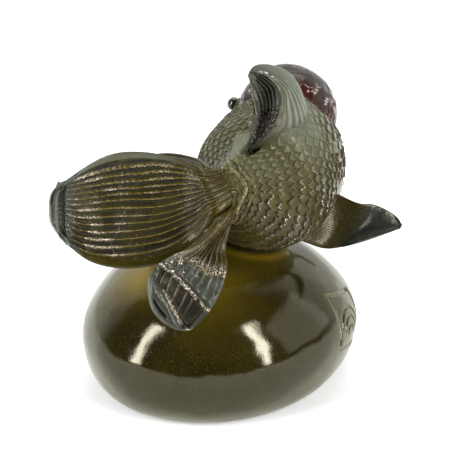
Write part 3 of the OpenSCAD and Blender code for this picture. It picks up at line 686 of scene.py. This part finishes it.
def blade(name, node, e1, e2, bow, rays, mat, slot, thick, nt, nw, ray_h, margin, ray_end, tip_from, seed,
          rope=0.4, lip=0.0, back_rays=0.6, nose=0.0, corner=0.0, shape=None, spark=0.8, gild=1.0, dusk=1.0,
          forks=False, grainy=1.0):
    """A leaf with raised rays between the edge curves e1 and e2, from its root to its tip.

    bow arches it across. nt by nw is its mesh, ray_h the rays' height and rope their twist; they stay inside
    margin, stop at ray_end, and fork if forks. lip rolls the far end, nose and corner round it, and shape
    adds a lobe's own relief and colour, painted shade and sheen among it. tip_from, spark, gild, dusk
    and grainy set how much of each it has; spark is a painted highlight on the crests.
    """
    t, w = np.linspace(0, 1, nt), np.linspace(0, 1, nw)
    T, W = np.meshgrid(t, w, indexing="ij")
    a, b = crom(e1, T), crom(e2, T)
    mid = a * (1 - W)[..., None] + b * W[..., None]
    c0 = (crom(e1, np.maximum(t - 0.02, 0)) + crom(e2, np.maximum(t - 0.02, 0))) / 2
    c1 = (crom(e1, np.minimum(t + 0.02, 1)) + crom(e2, np.minimum(t + 0.02, 1))) / 2
    along = unit(c1 - c0)[:, None, :]
    face = unit(np.cross(c1 - c0, crom(e2, t) - crom(e1, t)))[:, None, :]
    mid = mid + face * (crom(bow, T) * 4 * W * (1 - W))[..., None]
    mid = mid + along * (nose * smooth(0.8, 1.0, T) * 4 * W * (1 - W))[..., None]
    mid = mid - along * (corner * smooth(0.50, 1.0, T) * np.abs(2 * W - 1) ** 4.5)[..., None]
    n = unit(np.cross(np.gradient(mid, axis=0), np.gradient(mid, axis=1)))
    n = np.where((n * face).sum(-1, keepdims=True) < 0, -n, n)
    length = np.linalg.norm(np.diff((a[:, 0] + b[:, 0]) / 2, axis=0), axis=1).sum()
    width = np.linalg.norm(a[:, 0] - b[:, 0], axis=1)[:, None]

    # rays run the length; they wander a little, and each ends at its own place
    wander = 0.20 * np.sin(T * 9 + W * 5 + seed) + 0.5 * (flat_noise(T * 3, W * 7, seed + 14) - 0.5)
    q = W * rays + wander * smooth(0, 0.4, T)
    k, f = np.floor(q).astype(int), mid_of(q)
    ends = ray_end + 0.05 * (rnd(k, seed=seed + 3) - 0.5)
    fade = (1 - smooth(ends - 0.02, ends + 0.03, T)) * smooth(0.0, 0.05, T)
    side = smooth(margin[0] * 0.5, margin[0] * 1.3, W) * smooth(margin[1] * 0.5, margin[1] * 1.3, 1 - W)
    if forks:
        fade = fade * (1 - (k % 2) * smooth(0.26 + 0.1 * rnd(k, seed=seed + 15), 0.10, T))
    twist = np.sin(2 * math.pi * (T * length / 1.5 + f * 0.9 + rnd(k, seed=seed)))
    lumpy = noise(mid, 0.9, seed + 5)
    crest = bell(f, 0, 0.10) * (1 + rope * (0.5 * twist + 1.5 * (lumpy - 0.5)))
    second = 0.35 * bell(np.abs(f), 0.36, 0.07) * (noise(mid, 4.0, seed + 8) > 0.45)
    mask = fade * side
    if shape:
        keep, move, black, shine, blue, painted_fleck, pale_sheen = shape(T, W, mid)
        mask = mask * keep
    ray = (crest + second) * mask * np.clip(width / rays / 1.6, 0.35, 1.3)
    flute = (1 - bell(f, 0, 0.30)) * mask
    faint = (0.18 * bell(f, 0, 0.25) * smooth(ray_end - 0.02, ray_end + 0.04, T) * (1 - smooth(0.93, 0.97, T))
             * side)

    # thickness, with the far end and the edges rolled over if there is a lip
    across = np.sqrt(np.clip(4 * W * (1 - W), 0, 1))
    half = thick * (0.5 - TAPER / 2 * T) * (EDGE_MIN + (1 - EDGE_MIN) * across)
    roll = bell(T, 0.975, 0.030) * lip
    roll = roll * smooth(0.0, 0.12, W) * smooth(1.0, 0.88, W)
    # a slit under the rolled end; its dark inside is painted shade, below
    shade_slit = bell(T, 0.935, 0.010) * 0.5 * lip * smooth(0.04, 0.2, W) * smooth(0.98, 0.8, W)
    edge_roll = lip * 0.45 * (bell(W, 0, 0.045) * smooth(0.35, 0.7, T) * smooth(1.0, 0.86, T)
                              + bell(1 - W, 0, 0.06) * smooth(0.2, 0.6, T))
    rounded = (np.sqrt(np.clip(1 - np.abs(2 * W - 1) ** 14, 0.02, 1))
               * np.sqrt(np.clip(1 - smooth(0.965, 1.0, T) ** 2, 0.01, 1)))
    grain = ((noise(mid, 0.7, seed + 6) - 0.5) * 0.10 + (fbm(mid, 4.0, seed + 7) - 0.5) * 0.3) * grainy
    ribs = ray * ray_h - flute * ray_h * 0.5
    front = (half + roll - shade_slit + edge_roll + grain) * rounded + (ribs + faint * ray_h)
    rear = (half + roll * 0.8 + edge_roll + grain) * rounded + back_rays * ribs
    front, rear = np.maximum(front, LEAST), np.maximum(rear, LEAST)
    if shape:
        front = np.maximum(front + move * rounded, 0.15 - 0.9 * (move < 0))
        rear = rear + 0.9 * (move < -0.2)  # thicker behind each hollow

    # colour amounts
    top_rim = (1 - side) * (W < 0.5) * smooth(0.25, 0.5, T)
    dark = flute * (0.45 + 0.95 * noise(mid, 3.0, seed + 9)) * dusk
    # painted shade: the slit is blacked in for the dark inside of the rolled end
    dark = np.clip(dark + shade_slit / max(lip, 1e-6) * 1.6, 0, 1)
    gold = np.clip(mask * bell(f, 0, 0.10) * (0.35 + 0.8 * lumpy) + second * mask * 0.8, 0, 1) * gild
    tip = np.clip(smooth(tip_from, tip_from + 0.08, T) + 0.3 * top_rim, 0, 1)
    # painted sheen along the top rim
    pale_and_sheen = 0.28 * top_rim * (gild > 0.5)
    amber_glow_and_shade = np.clip(0.7 * smooth(0.25, 0.0, T) + (gild < 0.5) * smooth(0.6, 0.05, T), 0, 1)
    # painted highlights on the crests, strongest just before the rays end
    glint = mask * bell(f, 0, 0.13) * smooth(0.45, 0.8, noise(mid, 3.5, seed + 12)) * spark
    glint = 0.55 * glint + 3.0 * glint * smooth(ray_end - 0.25, ray_end - 0.08, T)
    if shape:
        dark = np.clip(dark * keep + black, 0, 1)
        gold = np.clip(gold + shine, 0, 1)
        tip = np.clip(tip + blue, 0, 1)
        pale_and_sheen = np.clip(pale_and_sheen + pale_sheen, 0, 1)
        glint = glint + painted_fleck
    amounts = dict(dark=dark, gold=gold, tip=tip, amber_glow_and_shade=amber_glow_and_shade, spark=np.clip(glint, 0, 1), pale_and_sheen=pale_and_sheen)
    amounts = end_means({key: np.concatenate([v, v[:, ::-1]], 1) for key, v in amounts.items()})
    rings = np.concatenate([mid + n * front[..., None], (mid - n * rear[..., None])[:, ::-1]], 1)
    me = new_mesh(name, with_caps(rings), tube_faces(nt, 2 * nw), amounts)
    return piece(name, me, mat, node)


# Each shape below returns seven arrays: the share of the rays kept, the relief, and the dark, gold, tip,
# painted glint and pale amounts to add. The dark holds painted shade in the slits, the glint is a painted
# highlight, and the pale is partly a painted sheen.
def folded(T, W, mid):
    """The small lobe's far half: a smooth fold, a dark hollow with a few thin rays, then a rolled end."""
    line = 0.47 + 0.12 * W + 0.02 * np.sin(W * 11)  # where the rays stop
    crest, edge = 0.60 + 0.22 * W, 0.775 + 0.225 * W  # top of the fold, and start of the rolled end
    ridged = 1 - 0.72 * smooth(line - 0.02, line + 0.03, T) - 0.28 * smooth(crest - 0.05, crest, T)
    fold = bell(T - crest, -0.025, 0.045)
    pit = (smooth(crest, crest + 0.035, T) * (1 - smooth(edge - 0.03, edge, T)) * smooth(0.08, 0.16, W)
           * (1 - smooth(0.88, 0.94, W)))
    cell = W * 7.5 - 0.7 * (T - 0.8) + 0.25 * flat_noise(W * 7, T * 2, 92)
    thin = bell(mid_of(cell), 0, 0.08) * pit * smooth(0.95, 0.3, W)
    q = np.clip((T - edge) / np.maximum(1.0 - edge, 0.02), 0, 1)
    tube = np.sqrt(np.clip(1 - (2 * q - 1) ** 2, 0, 1)) * (T > edge) * smooth(1.0, 0.7, W)
    slot = bell(T - 0.925 - 0.05 * W, 0, 0.010) * smooth(0.10, 0.18, W) * (1 - smooth(0.42, 0.52, W))
    rough = ((noise(mid, 0.9, 91) - 0.5) * smooth(0.42, 0.5, T) * (1 - smooth(0.66, 0.74, T))
             * (1 - smooth(0.3, 0.5, W)))
    move = 0.9 * fold - 1.2 * pit + 0.5 * thin + 1.5 * tube - 1.3 * slot + 0.9 * rough
    wob = 0.012 * (noise(mid, 1.1, 95) - 0.5)
    near_rim, far_rim = bell(T - crest - 0.012 + wob, 0, 0.008), bell(T - edge + 0.004 + wob, 0, 0.008)
    rims = (near_rim + far_rim * smooth(0.1, 0.3, W)) * smooth(0.2, 0.5, noise(mid, 1.4, 96))
    past_line = smooth(line, line + 0.06, T) * (1 - smooth(crest - 0.03, crest, T))
    # painted highlights: gold and glints on the fold's two rims; the thin rays' gold is their own
    shine = np.clip(0.8 * thin + 0.5 * rims, 0, 1)
    # painted shade: the slot under the rolled end is black
    black = np.clip(0.97 * pit * (1 - thin) + 0.95 * slot + 0.6 * (rough > 0.05) * smooth(0.42, 0.5, T), 0, 1)
    blue = np.clip(smooth(line, line + 0.05, T) * (1 - pit), 0, 1)
    painted_fleck = np.clip(1.6 * rims + 1.5 * (rough > 0.2) + 0.3 * thin
                    + 0.5 * smooth(line - 0.1, line, T) * (1 - smooth(line, line + 0.03, T)), 0, 1)
    # painted sheen: bluish past the rays' line and on the rolled end
    bluish = np.clip(0.20 * past_line * (0.3 + 1.2 * noise(mid, 2.0, 97)) + 0.12 * tube, 0, 1)
    return ridged, move, black, shine, blue, painted_fleck, bluish


def big_end(T, W, mid):
    """The big lobe's blunt end: a pale rim, then a lip turned back with a short dark slit."""
    # painted sheen on the pale rim and the turned-back lip; painted shade: the slot under the lip is blacked in
    rim = bell(T, 0.952, 0.007) * smooth(0.02, 0.1, W)
    slot = bell(T, 0.979, 0.007) * smooth(0.08, 0.14, W) * (1 - smooth(0.36, 0.44, W))
    comb = bell(mid_of(W * 30), 0, 0.2) * smooth(0.86, 0.88, T) * (1 - smooth(0.92, 0.95, T))
    lipped = smooth(0.955, 0.97, T)
    pale_sheen = 0.55 * rim + 0.10 * comb * noise(mid, 1.5, 94) + 0.10 * lipped * smooth(0.35, 0.6, W)
    none = 0 * T
    return none + 1, 0.5 * rim - 1.0 * slot + 0.10 * comb, slot, none, none, none, pale_sheen


lobe_set = dict(mat=mat_tail, slot="tail", thick=2.6)
big_upper = stations(root(-2.2, 5.4, -1.6), [[-4, -3.5, 8], [-10.5, -4.5, 10], [-18, -7, 11.7],
                                             [-26.5, -9, 10.8], [-35, -10.5, 6.5], [-43, -10.6, 0]])
big_lower = stations(root(3.6, -1.4, -1.6), [[0, -5.5, -5], [-6, -7.5, -13], [-12.5, -12, -17],
                                             [-22.5, -15.5, -18.6], [-32.5, -16.5, -17.6], [-42.5, -13.5, -13]])
blade("tail_big_right", "tail_upper_right", big_upper, big_lower, [0, -2, -4, -4, -4, -3, -1], 15,
      nt=295, nw=155, ray_h=0.65, margin=(0.05, 0.10), ray_end=0.87, tip_from=0.84, seed=11, lip=1.0,
      nose=1.6, corner=2.8, shape=big_end, forks=True, **lobe_set)
small_upper = stations(root(2.0, -3.4, -1.6), [[2.4, -7.8, -4], [-2.4, -12.9, -9.2], [-6.9, -17.7, -10.7],
                                               [-10, -21.5, -12.8], [-11.2, -24, -16], [-11.2, -25.2, -19.6]])
small_lower = stations(root(4.2, -3.2, -1.6), [[4, -5, -7.5], [4.2, -8.5, -11.5], [5.8, -11.5, -14.4],
                                               [5.8, -16.2, -19], [3.7, -20.4, -24.3], [-0.3, -22.9, -29.3]])
blade("tail_small_right", "tail_lower_right", small_upper, small_lower, [0, -1, -2, -2, -2, -1, 0], 8,
      nt=300, nw=110, ray_h=0.5, margin=(0.05, 0.09), ray_end=1.2, tip_from=1.5, seed=23, lip=0.01,
      nose=2.4, corner=1.2, shape=folded, forks=True, **lobe_set)
far_upper = stations(root(-0.9, 5.6), [[-4.5, 0.8, 6.3], [-8, 3.5, 6.5], [-14, 6.5, 5.5], [-21, 9, 3.5],
                                       [-28.5, 10.5, 0], [-36, 12, -7]])
far_lower = stations(root(-3.6, 1.1), [[-5.2, 0.8, -1], [-8, 3, -5], [-14, 5, -8.5], [-20, 7.5, -11.5],
                                       [-28, 8.5, -14.5], [-36, 11, -15]])
blade("tail_big_left", "tail_upper_left", far_lower, far_upper, [0, 1, 2, 3, 3, 2, 0], 13, nt=220, nw=130,
      ray_h=0.45, margin=(0.06, 0.06), ray_end=0.86, tip_from=0.84, seed=37, lip=0.8, back_rays=0.9, **lobe_set)
hid_upper = stations(root(-3.6, -1.4), [[-5, 0.5, -6], [-12, 5, -11], [-18.5, 7, -15], [-24, 8, -19]])
hid_lower = stations(root(-0.9, -5.8), [[-3, -0.5, -10], [-8, 4, -15.5], [-13, 6, -19.5], [-19, 7, -23]])
blade("tail_small_left", "tail_lower_left", hid_lower, hid_upper, [0, 1, 2, 1, 0], 7, nt=180, nw=90,
      ray_h=0.4, margin=(0.08, 0.08), ray_end=0.84, tip_from=0.82, seed=41, lip=0.6, back_rays=0.9, **lobe_set)

MIDDLE_X = 9.2  # of the body, for the left fins


def mirrored(p):
    return np.array([[2 * MIDDLE_X - q[0], q[1], q[2]] for q in p])


def fin_pair(kind, upper, lower, bow, rays, seed, **more):
    """The right fin between its edges upper and lower, and the left fin as its mirror image."""
    more.update(mat=mat_fin, slot="fins", thick=2.0, ray_h=0.05, rope=0.1, margin=(0.05, 0.05), ray_end=0.95,
                tip_from=0.30, spark=0.0, gild=0.3, dusk=0.45, grainy=0.25)
    blade(f"{kind}_right", f"right_{kind}_fin", upper, lower, bow, rays, seed=seed, **more)
    upper, lower = mirrored(lower), mirrored(upper)
    blade(f"{kind}_left", f"left_{kind}_fin", upper, lower, bow, rays, seed=seed + 1, **more)


upper = stations(body_at(0.66, -12, -0.8), [[34.2, 15.7, 49.6], [38.8, 15.2, 50.1], [43.4, 13.7, 49.7],
                                            [46.2, 12.6, 48.8], [47.8, 12.1, 47.2]], 0)
lower = stations(body_at(0.48, -50, -0.8), [[27.3, 6.8, 38.9], [32.2, 7.5, 39.8], [37, 7.1, 42.4],
                                            [41.4, 7.6, 44.8], [45.3, 9.1, 46.3], [47.8, 11, 46.8]], 0)
fin_pair("pectoral", upper, lower, [0, 1.5, 3, 2.5, 1.5, 0], 22, seed=51, nt=170, nw=120)
upper = stations(body_at(0.8, -42, -0.8), [[25.5, 30, 42], [27.5, 28, 38.5], [28.5, 25, 35]], 0)
lower = stations(body_at(0.7, -52, -0.8), [[24, 22.5, 39], [26.5, 21.5, 36], [28, 22, 33.5]], 0)
fin_pair("pelvic", upper, lower, [0, 0.8, 0.8, 0], 12, seed=53, nt=110, nw=80)

# -------------------- dorsal fin, hollow at the back
# Each ring has three sides of SN points: the left face, the hollow back, and the right face.
SN = 56


def arc(p, q, lift):
    """SN points from p up to q, bowed out by lift."""
    j = np.arange(SN)[:, None] / SN
    return np.array(p) + (np.array(q) - np.array(p)) * j + np.array(lift) * 4 * j * (1 - j)


def fin_ring(front, left, right, hollow, flare):
    front, left, right = map(np.array, (front, left, right))
    return np.vstack([arc(front, left, np.array([-0.3, 0, 0]) * hollow),
                      arc(left, right, (front - (left + right) / 2) * 0.08 * hollow),
                      arc(right, front, flare)])


j = np.arange(SN) / SN
foot = np.vstack([body_at(0.73 - 0.48 * j, 74 + 22 * j, -0.8), body_at(0.25 - 0.01 * j, 96 - 9 * j, -0.8),
                  body_at(0.24 + 0.49 * j, 86 - 12 * j - 34 * np.sin(math.pi * j), -0.8)])
rings = np.array([foot,
                  fin_ring([15, 22.5, 76.5], [8.6, 3, 74], [13.8, 1.6, 74.2], 2, [5.6, 0, -1.9]),
                  fin_ring([13.5, 19.5, 83], [7.8, 5, 78.6], [15.4, 4.2, 78.4], 4.5, [3.6, 0, -0.6]),
                  fin_ring([10, 16, 86.2], [6.4, 7.4, 82.2], [15, 7, 82], 4.5, [2.4, 0, 0.3]),
                  fin_ring([7, 13.5, 87.1], [5, 9.8, 84.4], [11.2, 9.3, 85], 3, [1.2, 0, 0.2]),
                  fin_ring([5.4, 12, 86.4], [4.8, 11, 85], [5.8, 11, 85.7], 1, [0.2, 0, 0])])
nt = 200
t = np.linspace(0, 1, nt)
G = crom(rings.reshape(len(rings), -1), t).reshape(nt, 3 * SN, 3)
for _ in range(5):
    G = 0.5 * G + 0.25 * (np.roll(G, 1, 1) + np.roll(G, -1, 1))
T, J = np.meshgrid(t, np.arange(3 * SN), indexing="ij")
n = unit(np.cross(np.gradient(G, axis=0), np.roll(G, -1, 1) - np.roll(G, 1, 1)))
n = np.where((n * (G - G.mean(1, keepdims=True))).sum(-1, keepdims=True).mean() < 0, -n, n)
S = J / SN  # 0 to 1 left face, 1 to 2 hollow, 2 to 3 right face
low_back = smooth(0.93, 0.99, S) * smooth(2.05, 1.97, S) * smooth(0.34, 0.22, T)
hollow = smooth(0.93, 0.99, S) * smooth(2.0, 1.95, S) * smooth(-0.05, 0.05, T) * smooth(1.0, 0.94, T)
right_rim = bell(S, 2.03, 0.07) * smooth(0.1, 0.25, T)
left_rim = bell(S, 0.98, 0.05) * smooth(0.1, 0.25, T)
right_face = smooth(2.05, 2.15, S) * smooth(2.99, 2.9, S) * smooth(0.1, 0.3, T)
left_face = smooth(0.0, 0.1, S) * smooth(0.95, 0.9, S) * smooth(0.1, 0.3, T)
faces = right_face + left_face
rays = np.cos(2 * math.pi * (S * 9 + 0.8 * T))
flutes = np.cos(2 * math.pi * ((S - 1) * 12 + 4.0 * T + 0.3 * noise(G, 2.0, 64)))
fluted = smooth(1.62, 1.40, S)  # only the hollow's left part
disp = 0.16 * rays * faces + hollow * (-1.1 + 0.28 * flutes * fluted) + 0.45 * right_rim + 0.15 * left_rim
disp += (noise(G, 0.8, 61) - 0.5) * (0.08 + 0.25 * hollow * smooth(0.45, 0.2, T) + 0.3 * low_back)
G = G + n * disp[..., None]
in_folds = 0.75 * smooth(0.5, -0.2, flutes) * fluted
mottled = 0.6 * smooth(0.42, 0.26, T) * smooth(0.2, 0.5, noise(G, 1.0, 66))
dark = 0.8 * low_back * smooth(0.25, 0.5, noise(G, 1.0, 67)) + hollow * (0.08 + in_folds + mottled)
gold = 0.2 * (rays > 0.3) * faces + 0.5 * right_rim * noise(G, 1.0, 62) + 0.3 * left_rim
tip = 0.85 * hollow * (1 - 0.5 * fluted) + low_back
# pale faces and streaks: the fin's own milky tone and a painted sheen
pale_and_sheen = (0.95 * faces * (0.55 + 0.45 * rays) + 0.40 * hollow * fluted * (flutes > 0.6)
        + 0.36 * hollow * (1 - fluted) * smooth(0.2, 0.4, T))
# painted highlights along the hollow's right rim and low in the hollow
glint = bell(S, 1.95, 0.035) * smooth(0.15, 0.3, T) * smooth(1.0, 0.9, T)
glint = glint + 0.22 * hollow * smooth(0.4, 0.25, T)
amber_glow_and_shade = smooth(0.25, 0.0, T) * 0.8 * noise(G, 3.0, 63)
amounts = dict(dark=dark, gold=gold, tip=tip, amber_glow_and_shade=amber_glow_and_shade, spark=glint, pale_and_sheen=pale_and_sheen)
amounts = end_means({k: np.clip(v, 0, 1) for k, v in amounts.items()})
me = new_mesh("dorsal", with_caps(G), tube_faces(nt, 3 * SN), amounts)
piece("dorsal", me, mat_fin, "dorsal_fin")

# -------------------- hood and eyes
HOOD_RINGS, HOOD_TURNS = 180, 300
lat, lon = np.meshgrid(np.linspace(-math.pi / 2, math.pi / 2, HOOD_RINGS),
                       np.arange(HOOD_TURNS) * 2 * math.pi / HOOD_TURNS, indexing="ij")
D = np.stack([np.cos(lat) * np.cos(lon), np.cos(lat) * np.sin(lon), np.sin(lat)], -1)
G = CAP_AT + D * CAP_R
small = noise(G, 1.5, 72)
low = smooth(0.62, 0.25, D[..., 2])
bumpy = (0.9 * (fbm(G, 5.5, 71, 2) - 0.5) + (small - 0.5) * (0.15 + 0.5 * low)
         + (noise(G, 0.7, 73) - 0.5) * 0.3 * low)
G = G + D * bumpy[..., None]
to_skin = nearest_skin(G.reshape(-1, 3))[1].reshape(lat.shape)
rim = smooth(6.5, 1.5, to_skin)  # 1 where the hood meets the body
# painted highlights where the hood meets the body
glint = 1.2 * rim * smooth(0.5, 0.7, noise(G, 2.0, 76)) * smooth(0.45, 0.6, noise(G, 0.8, 77))
# the faint pale on top is a painted sheen
amounts = dict(dark=0.25 * smooth(0.5, 0.35, small), gold=0.3 * low * smooth(0.6, 0.8, small),
               tip=0.15 * smooth(0.9, 0.2, D[..., 2]), amber_glow_and_shade=rim * smooth(0.3, 0.6, noise(G, 4.0, 75)),
               spark=np.clip(glint, 0, 1), pale_and_sheen=0.03 * smooth(0.2, 0.9, D[..., 2]))
me = new_mesh("hood", with_caps(G), tube_faces(HOOD_RINGS, HOOD_TURNS), end_zeros(amounts))
piece("hood", me, mat_wen, "head_cap")
for name, node, at in (("eye_left", "left_eye", EYES[0]), ("eye_right", "right_eye", EYES[1])):
    prof = [(EYE_R * 1.02 * math.cos(q) * (1 + 0.02 * math.sin(3 * q)), EYE_R * math.sin(q))
            for q in np.linspace(-math.pi / 2, math.pi / 2, 48)]
    pp, ff = revolve(at, at - CHEEK, prof, 96)
    ring = bell((pp - at) @ unit(at - CHEEK) / 0.3, -2.5, 1)
    none = np.zeros(len(pp))
    me = new_mesh(name, pp, ff, dict(dark=none, gold=ring, tip=none, amber_glow_and_shade=none))
    piece(name, me, mat_eye, node)

# -------------------- dowel keeps its CAD shape, in hardwood
wood = bpy.data.materials.new("hardwood")
wood.use_nodes = True
nt = wood.node_tree
co = nt.nodes.new("ShaderNodeTexCoord")
along = nt.nodes.new("ShaderNodeMapping")
along.inputs["Scale"].default_value = (1, 1, 0.08)
fibre = nt.nodes.new("ShaderNodeTexNoise")
fibre.inputs["Scale"].default_value = 900
tone = nt.nodes.new("ShaderNodeValToRGB")
tone.color_ramp.elements[0].color = (0.30, 0.19, 0.09, 1)
tone.color_ramp.elements[1].color = (0.55, 0.40, 0.22, 1)
nt.links.new(co.outputs["Object"], along.inputs["Vector"])
nt.links.new(along.outputs[0], fibre.inputs["Vector"])
nt.links.new(fibre.outputs["Fac"], tone.inputs[0])
nt.links.new(tone.outputs[0], nt.nodes["Principled BSDF"].inputs["Base Color"])
nt.nodes["Principled BSDF"].inputs["Roughness"].default_value = 0.6
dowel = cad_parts["mounting_dowel"]
dowel.data.materials.clear()
dowel.data.materials.append(wood)

# -------------------- stage, lights and camera
scene = bpy.context.scene
FLOOR = 6.0  # half its width, in metres
me = bpy.data.meshes.new("floor")
me.from_pydata([(x * FLOOR, y * FLOOR, 0) for x, y in ((-1, -1), (1, -1), (1, 1), (-1, 1))], [], [[0, 1, 2, 3]])
floor = bpy.data.objects.new("floor", me)
scene.collection.objects.link(floor)
paper = bpy.data.materials.new("floor_paper")
paper.use_nodes = True
for key, val in (("Base Color", (0.92, 0.92, 0.92, 1)), ("Roughness", 0.9), ("Specular IOR Level", 0.0),
                 ("Emission Color", (1, 1, 1, 1)), ("Emission Strength", 0.27)):
    paper.node_tree.nodes["Principled BSDF"].inputs[key].default_value = val
me.materials.append(paper)

# white studio, bright behind the object and dark on the camera's side
CAM_AZ, CAM_EL, CAM_DIST = math.radians(20), math.radians(28), 0.48
world = bpy.data.worlds.new("studio")
scene.world = world
world.use_nodes = True
nt = world.node_tree
nt.nodes.clear()
out = nt.nodes.new("ShaderNodeOutputWorld")
bg = nt.nodes.new("ShaderNodeBackground")
co = nt.nodes.new("ShaderNodeTexCoord")
ahead = nt.nodes.new("ShaderNodeVectorMath")
ahead.operation = "DOT_PRODUCT"
ahead.inputs[1].default_value = (-math.sin(CAM_AZ), math.cos(CAM_AZ), 0.0)
bright = nt.nodes.new("ShaderNodeMapRange")
bright.interpolation_type = "SMOOTHSTEP"
for key, val in (("From Min", 0.02), ("From Max", 0.46), ("To Min", 0.05), ("To Max", 1.05)):
    bright.inputs[key].default_value = val
nt.links.new(co.outputs["Generated"], ahead.inputs[0])
nt.links.new(ahead.outputs["Value"], bright.inputs["Value"])
nt.links.new(bright.outputs["Result"], bg.inputs["Strength"])
bg.inputs["Color"].default_value = (1, 1, 1, 1)
nt.links.new(bg.outputs[0], out.inputs[0])


def outward(az, el):
    """Unit vector away from the object, with azimuth 0 towards -Y."""
    return Vector((math.sin(az) * math.cos(el), -math.cos(az) * math.cos(el), math.sin(el)))


def softbox(name, az, el, dist, w, h, power):
    """Area light aimed at the object's middle, with azimuth 0 on the camera's side."""
    li = bpy.data.lights.new(name, "AREA")
    li.shape = "RECTANGLE"
    li.size, li.size_y = w, h
    li.energy = power
    ob = bpy.data.objects.new(name, li)
    d = outward(CAM_AZ + math.radians(az), math.radians(el))
    ob.location = Vector((0.0, 0.0, 0.04)) + d * dist
    ob.rotation_euler = d.to_track_quat("Z", "Y").to_euler()
    ob.visible_camera = False
    scene.collection.objects.link(ob)


softbox("strip_left", -57, 26, 0.9, 0.15, 0.80, 8)
softbox("strip_right", 45, 26, 0.9, 0.11, 0.80, 7)
softbox("top_back", 170, 62, 1.2, 0.9, 0.7, 5)
softbox("fill_right", 84, 24, 1.0, 0.8, 0.7, 2.2)

cam = bpy.data.cameras.new("camera")
cam.lens, cam.sensor_width, cam.clip_start = 142.2, 36.0, 0.01
camera = bpy.data.objects.new("camera", cam)
scene.collection.objects.link(camera)
d = outward(CAM_AZ, CAM_EL)
camera.location = Vector((0.0017, 0.0006, 0.0444)) + d * CAM_DIST
camera.rotation_euler = d.to_track_quat("Z", "Y").to_euler()
scene.camera = camera
scene.view_settings.view_transform = "Standard"
